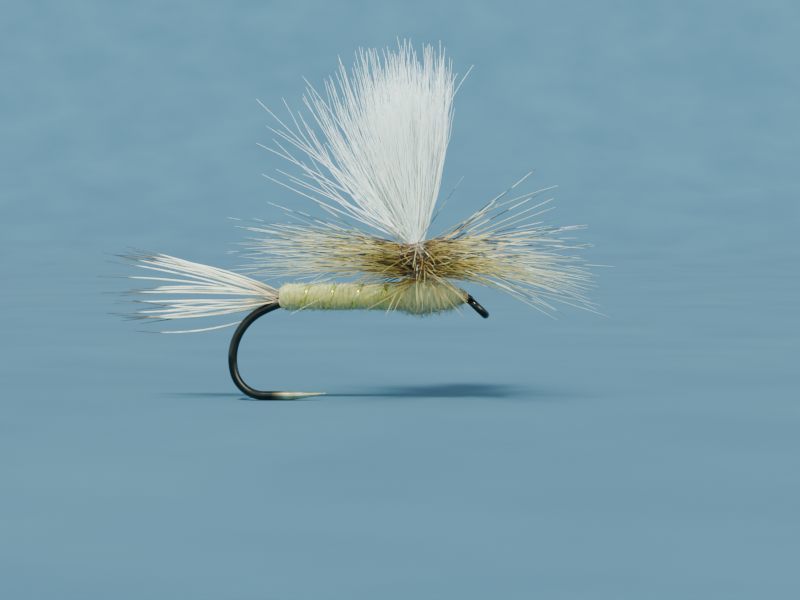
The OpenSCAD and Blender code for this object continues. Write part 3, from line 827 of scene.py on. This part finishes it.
def wing(seed, count, locks, strays):
    """The wing's hairs: each starts at its own place in the bundle and ends near its own lock."""
    luck = random.Random(seed)
    heads = []
    while len(heads) < locks:
        around, out = luck.uniform(0, 2 * math.pi), math.sqrt(luck.random())
        if out * math.cos(around) < -0.3 and luck.random() < 0.72:
            continue                        # the fan is thinner towards the rear
        length = min(9.8, 9.1 + 0.9 * out + luck.gauss(0, 0.6))
        heads.append((around, out, length))
    strands = []
    for k in range(count):
        around, out, length = luck.choice(heads)
        own_around, own_out = around + luck.gauss(0, 0.4), min(1.0, abs(out + luck.gauss(0, 0.2)))
        foot = on_post(HAIR_FOOT, own_around, POST_R * own_out * 0.92)
        gate = on_post(FAN_FOOT, own_around, POST_R * own_out * 1.15)
        side, across = out * math.cos(around), out * math.sin(around)
        apart = 0.02 if luck.random() < 0.85 else 0.12
        tip, steer = wing_tip(on_post(FAN_FOOT), side + luck.gauss(0, apart),
                              across + luck.gauss(0, apart),
                              length * luck.triangular(0.58, 1.14, 0.84), luck)
        # calf hair is crinkly: no hair of a lock runs quite like its neighbour
        steer += gate - on_post(FAN_FOOT) + Vector((luck.gauss(0, 0.24), luck.gauss(0, 0.24), 0))
        above = swept(gate, steer, tip, thick=luck.uniform(0.019, 0.028), thin=0.005, points=11)
        strands.append([(foot, 0.026)] + wavy(above, luck, luck.uniform(0.02, 0.075)))
    for k in range(strays):
        around = luck.uniform(0, 2 * math.pi)
        gate = on_post(FAN_FOOT, around, POST_R * 0.95)
        rear = luck.random() < 0.72
        lean = math.radians(luck.uniform(28, 66) if rear else luck.uniform(-20, -8))
        length = luck.uniform(6.5, 11.0)
        way = Vector((-math.sin(lean), luck.gauss(0, 0.2), math.cos(lean)))
        over = Vector((math.cos(lean), 0, math.sin(lean))) * luck.uniform(-1.6, 0.8)
        strands.append([(on_post(HAIR_FOOT, around, POST_R * 0.9), 0.026)]
                       + swept(gate, gate + way * (length * 0.5) + over, gate + way * length,
                               thick=0.024, thin=0.006))
    return grow("wing", strands)


settle(wing(seed=31, count=960, locks=58, strays=24), "wing_hair", calf_hair, "wing_hair",
       "wing_post_hair")

# %% [markdown]
# ## The hackle: two feathers wound round the post
# A parachute hackle is a feather wound in flat turns round the foot of the wing. Its stem makes the
# turns and its barbs stand straight out all round like spokes, so from the side they make a flat
# band. A ginger feather and a grizzly feather are wound one after the other into the same space.

# %% The stems and their barbs
STEM_R, STEM_PITCH, STEM_TURNS, STEM_STEPS = 0.07, 0.41, 4.0, 96
HACKLE_FOOT = 1.12


def stem_point(height_shift, turn):
    """A point on a stem's axis after this many turns, and its angle round the post."""
    angle = 2 * math.pi * turn
    return on_post(HACKLE_FOOT + height_shift + STEM_PITCH * turn, angle, WRAP_R + STEM_R), angle


def barb_way(luck, angle, front_drop):
    """The way a barb leaves: straight out, a bit higher at the rear and lower towards the eye."""
    azimuth = math.degrees(angle) + luck.gauss(0, 7)
    ahead = math.cos(math.radians(azimuth))
    level = 3 - front_drop * ahead + luck.gauss(0, 5.5 + 1.5 * ahead)
    if luck.random() < 0.03:
        level += luck.uniform(12, 30)
    return azimuth, level


def feather(name, seed, count, height_shift, bold, wild, material, slot, node):
    """A wound feather: its stem, and its barbs in a second mesh; bold makes them thicker."""
    luck = random.Random(seed)
    stem = [(stem_point(height_shift, STEM_TURNS * k / STEM_STEPS)[0],
             STEM_R * (1 - 0.5 * k / STEM_STEPS)) for k in range(STEM_STEPS + 1)]
    settle(grow(name + "_stem", [stem]), name + "_stem", quill, slot, node)
    strands = []
    for k in range(count):
        turn = STEM_TURNS * (k + luck.random()) / count
        root, angle = stem_point(height_shift, turn)
        way = turned_way(*barb_way(luck, angle, front_drop=4))
        if way.y < -0.9 and luck.random() < 0.8:
            continue                        # the wound feather opens a little at this side
        length = luck.triangular(6.0, 10.0, 9.0)
        droop = -0.35 - 0.35 * max(0.0, way.x)
        bend = Vector((-way.y, way.x, 0)) * luck.gauss(0, 0.7) + Vector((0, 0, luck.gauss(droop, 0.5)))
        strands.append(hair(root, way, length, bend, thick=bold * luck.uniform(0.018, 0.029),
                            thin=0.004, points=9, full=0.25))
    for azimuth, level, length in wild:
        root = on_post(HACKLE_FOOT + 1.0, math.radians(azimuth), WRAP_R)
        strands.append(hair(root, turned_way(azimuth, level), length,
                            bend=(0, 0, luck.uniform(-0.5, 0.1)), thick=0.027 * bold, thin=0.006,
                            points=9, full=0.3))
    settle(grow(name, strands), name, material, slot, node)


def web(name, seed, count, material, slot, node):
    """The soft short barbs close to the stems, which fill the middle of the hackle."""
    luck = random.Random(seed)
    strands = []
    for k in range(count):
        root, angle = stem_point(0, luck.uniform(-0.6, STEM_TURNS))
        way = turned_way(math.degrees(angle) + luck.gauss(0, 28), luck.gauss(-2, 13))
        bend = Vector((luck.gauss(0, 0.35), luck.gauss(0, 0.35), luck.gauss(-0.1, 0.35)))
        strands.append(hair(root, way, luck.triangular(1.0, 5.4, 2.4), bend, thick=0.024,
                            thin=0.006, points=6, full=0.3))
    for azimuth, level, length in WILD_WEB:
        root = on_post(HACKLE_FOOT + 0.5, math.radians(azimuth), WRAP_R + 0.1)
        strands.append(hair(root, turned_way(azimuth, level), length, bend=(0.15, -0.1, -0.5),
                            thick=0.026, thin=0.008))
    settle(grow(name, strands), name, material, slot, node)


# a few barbs were trapped while winding and point their own way: azimuth, elevation, length
WILD_GINGER = [(-12, 24, 7.4), (212, -18, 7.6), (20, 19, 7.9)]
WILD_GRIZZLY = [(8, 38, 7.6), (-8, 42, 5.9), (-20, 30, 7.8), (25, 33, 5.2), (204, -13, 7.0),
                (190, 24, 6.4)]
WILD_WEB = [(232, -38, 3.2), (262, -48, 1.9), (272, -60, 1.7), (318, -30, 3.2), (300, -52, 2.1)]
feather("ginger_feather", seed=41, count=225, height_shift=0.0, bold=1.0, wild=WILD_GINGER,
        material=ginger, slot="ginger_feather", node="ginger_hackle")
feather("grizzly_feather", seed=42, count=140, height_shift=0.2, bold=1.35, wild=WILD_GRIZZLY,
        material=grizzly, slot="grizzly_feather", node="grizzly_hackle")
web("ginger_web", seed=43, count=260,
    material=ginger_down, slot="ginger_feather", node="ginger_hackle")

# %% [markdown]
# ## The stage
# A plain blue-grey floor runs back and curves up into a backdrop, so no edge shows. One soft lamp
# stands above in front, a weaker one fills from the other side, and a third lights the hair's rim.
# The lamps are far off, so they light the floor and the backdrop evenly.

# %% Floor and backdrop
paper, tree, shader = new_material("matt_background_paper", Roughness=0.95)
where = add(tree, "ShaderNodeTexCoord").outputs["Object"]
fleck = add(tree, "ShaderNodeTexNoise", {"Vector": where, "Scale": grain(14), "Detail": 4.0})
tint = add(tree, "ShaderNodeValToRGB", {"Fac": fleck.outputs["Fac"]},
           [(0.3, "#295167"), (0.7, "#2f596d")])
tree.links.new(tint.outputs[0], shader.inputs["Base Color"])
FLOOR_Z = cad_low.z - 0.02 * MM
# in metres: the floor's width, where it starts to curve up, the curve's radius, the wall's height
FLOOR_W, FLOOR_END, CURVE_R, WALL_H = 2.4, 0.35, 0.25, 0.9
bpy.ops.object.select_all(action="DESELECT")
bpy.ops.mesh.primitive_plane_add(size=FLOOR_W, location=(0, FLOOR_END - FLOOR_W / 2, FLOOR_Z))
floor = bpy.context.object
bpy.ops.object.transform_apply(location=True, rotation=True, scale=True)
edit(floor, "EDGE")                         # this leaves nothing selected
bpy.ops.object.mode_set(mode="OBJECT")
for line in floor.data.edges:
    line.select = all(floor.data.vertices[v].co.y > 0.3 for v in line.vertices)
bpy.ops.object.mode_set(mode="EDIT")
bpy.ops.mesh.spin(steps=16, angle=math.radians(-90), center=(0, FLOOR_END, FLOOR_Z + CURVE_R),
                  axis=(1, 0, 0))
bpy.ops.mesh.extrude_region_move(TRANSFORM_OT_translate={"value": (0, 0, WALL_H)})
bpy.ops.object.mode_set(mode="OBJECT")
floor.name = floor.data.name = "floor"
floor.data.materials.append(paper)
bpy.ops.object.shade_smooth()
floor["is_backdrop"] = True
print("floor box:", [round(v, 2) for c in (floor.bound_box[0], floor.bound_box[6]) for v in c])


# %% Lamps and sky
def lamp(name, azimuth, elevation, strength, softness, tint):
    """A far soft lamp: the way to it, its strength and its width as seen from the fly, in degrees."""
    light = bpy.data.lights.new(name, "SUN")
    light.energy, light.angle, light.color = strength, math.radians(softness), tone(tint)[:3]
    obj = bpy.data.objects.new(name, light)
    obj.rotation_euler = turned_way(azimuth, elevation).to_track_quat("Z", "Y").to_euler()
    bpy.context.scene.collection.objects.link(obj)


lamp("key", azimuth=-110, elevation=55, strength=7.6, softness=8, tint="#f8fff6")
lamp("fill", azimuth=-50, elevation=25, strength=1.8, softness=40, tint="#eefcff")
lamp("rim", azimuth=70, elevation=50, strength=2.2, softness=15, tint="#f4fff9")
world = bpy.data.worlds.new("studio")
world.use_nodes = True
world.node_tree.nodes["Background"].inputs["Color"].default_value = tone("#c6d8df")
world.node_tree.nodes["Background"].inputs["Strength"].default_value = 1.7
bpy.context.scene.world = world
print("three lamps and a pale sky")

# %% [markdown]
# ## The camera
# The camera looks at the fly's side from a little above. A long lens some way off keeps the
# perspective weak, as a close-up of something this small is taken.

# %% Camera
AIM = Vector((-4.1, 0, 0.405)) * MM         # what the camera looks at
ELEVATION, DISTANCE = math.radians(2.0), 117 * MM
camera_data = bpy.data.cameras.new("camera")
camera_data.lens, camera_data.sensor_width = 100, 36
camera_data.clip_start, camera_data.clip_end = 2 * MM, 20
camera = bpy.data.objects.new("camera", camera_data)
camera.location = AIM + Vector((0, -math.cos(ELEVATION), math.sin(ELEVATION))) * DISTANCE
camera.rotation_euler = (AIM - camera.location).to_track_quat("-Z", "Y").to_euler()
bpy.context.scene.collection.objects.link(camera)
bpy.context.scene.camera = camera

# %% [markdown]
# ## Sizes, and the end
# The box of the finished fly is written beside the box of the CAD model, so the two can be compared.

# %% Write the two boxes and finish
low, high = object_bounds()
print("visual box in mm:", [round(v / MM, 2) for v in (*low, *high)])
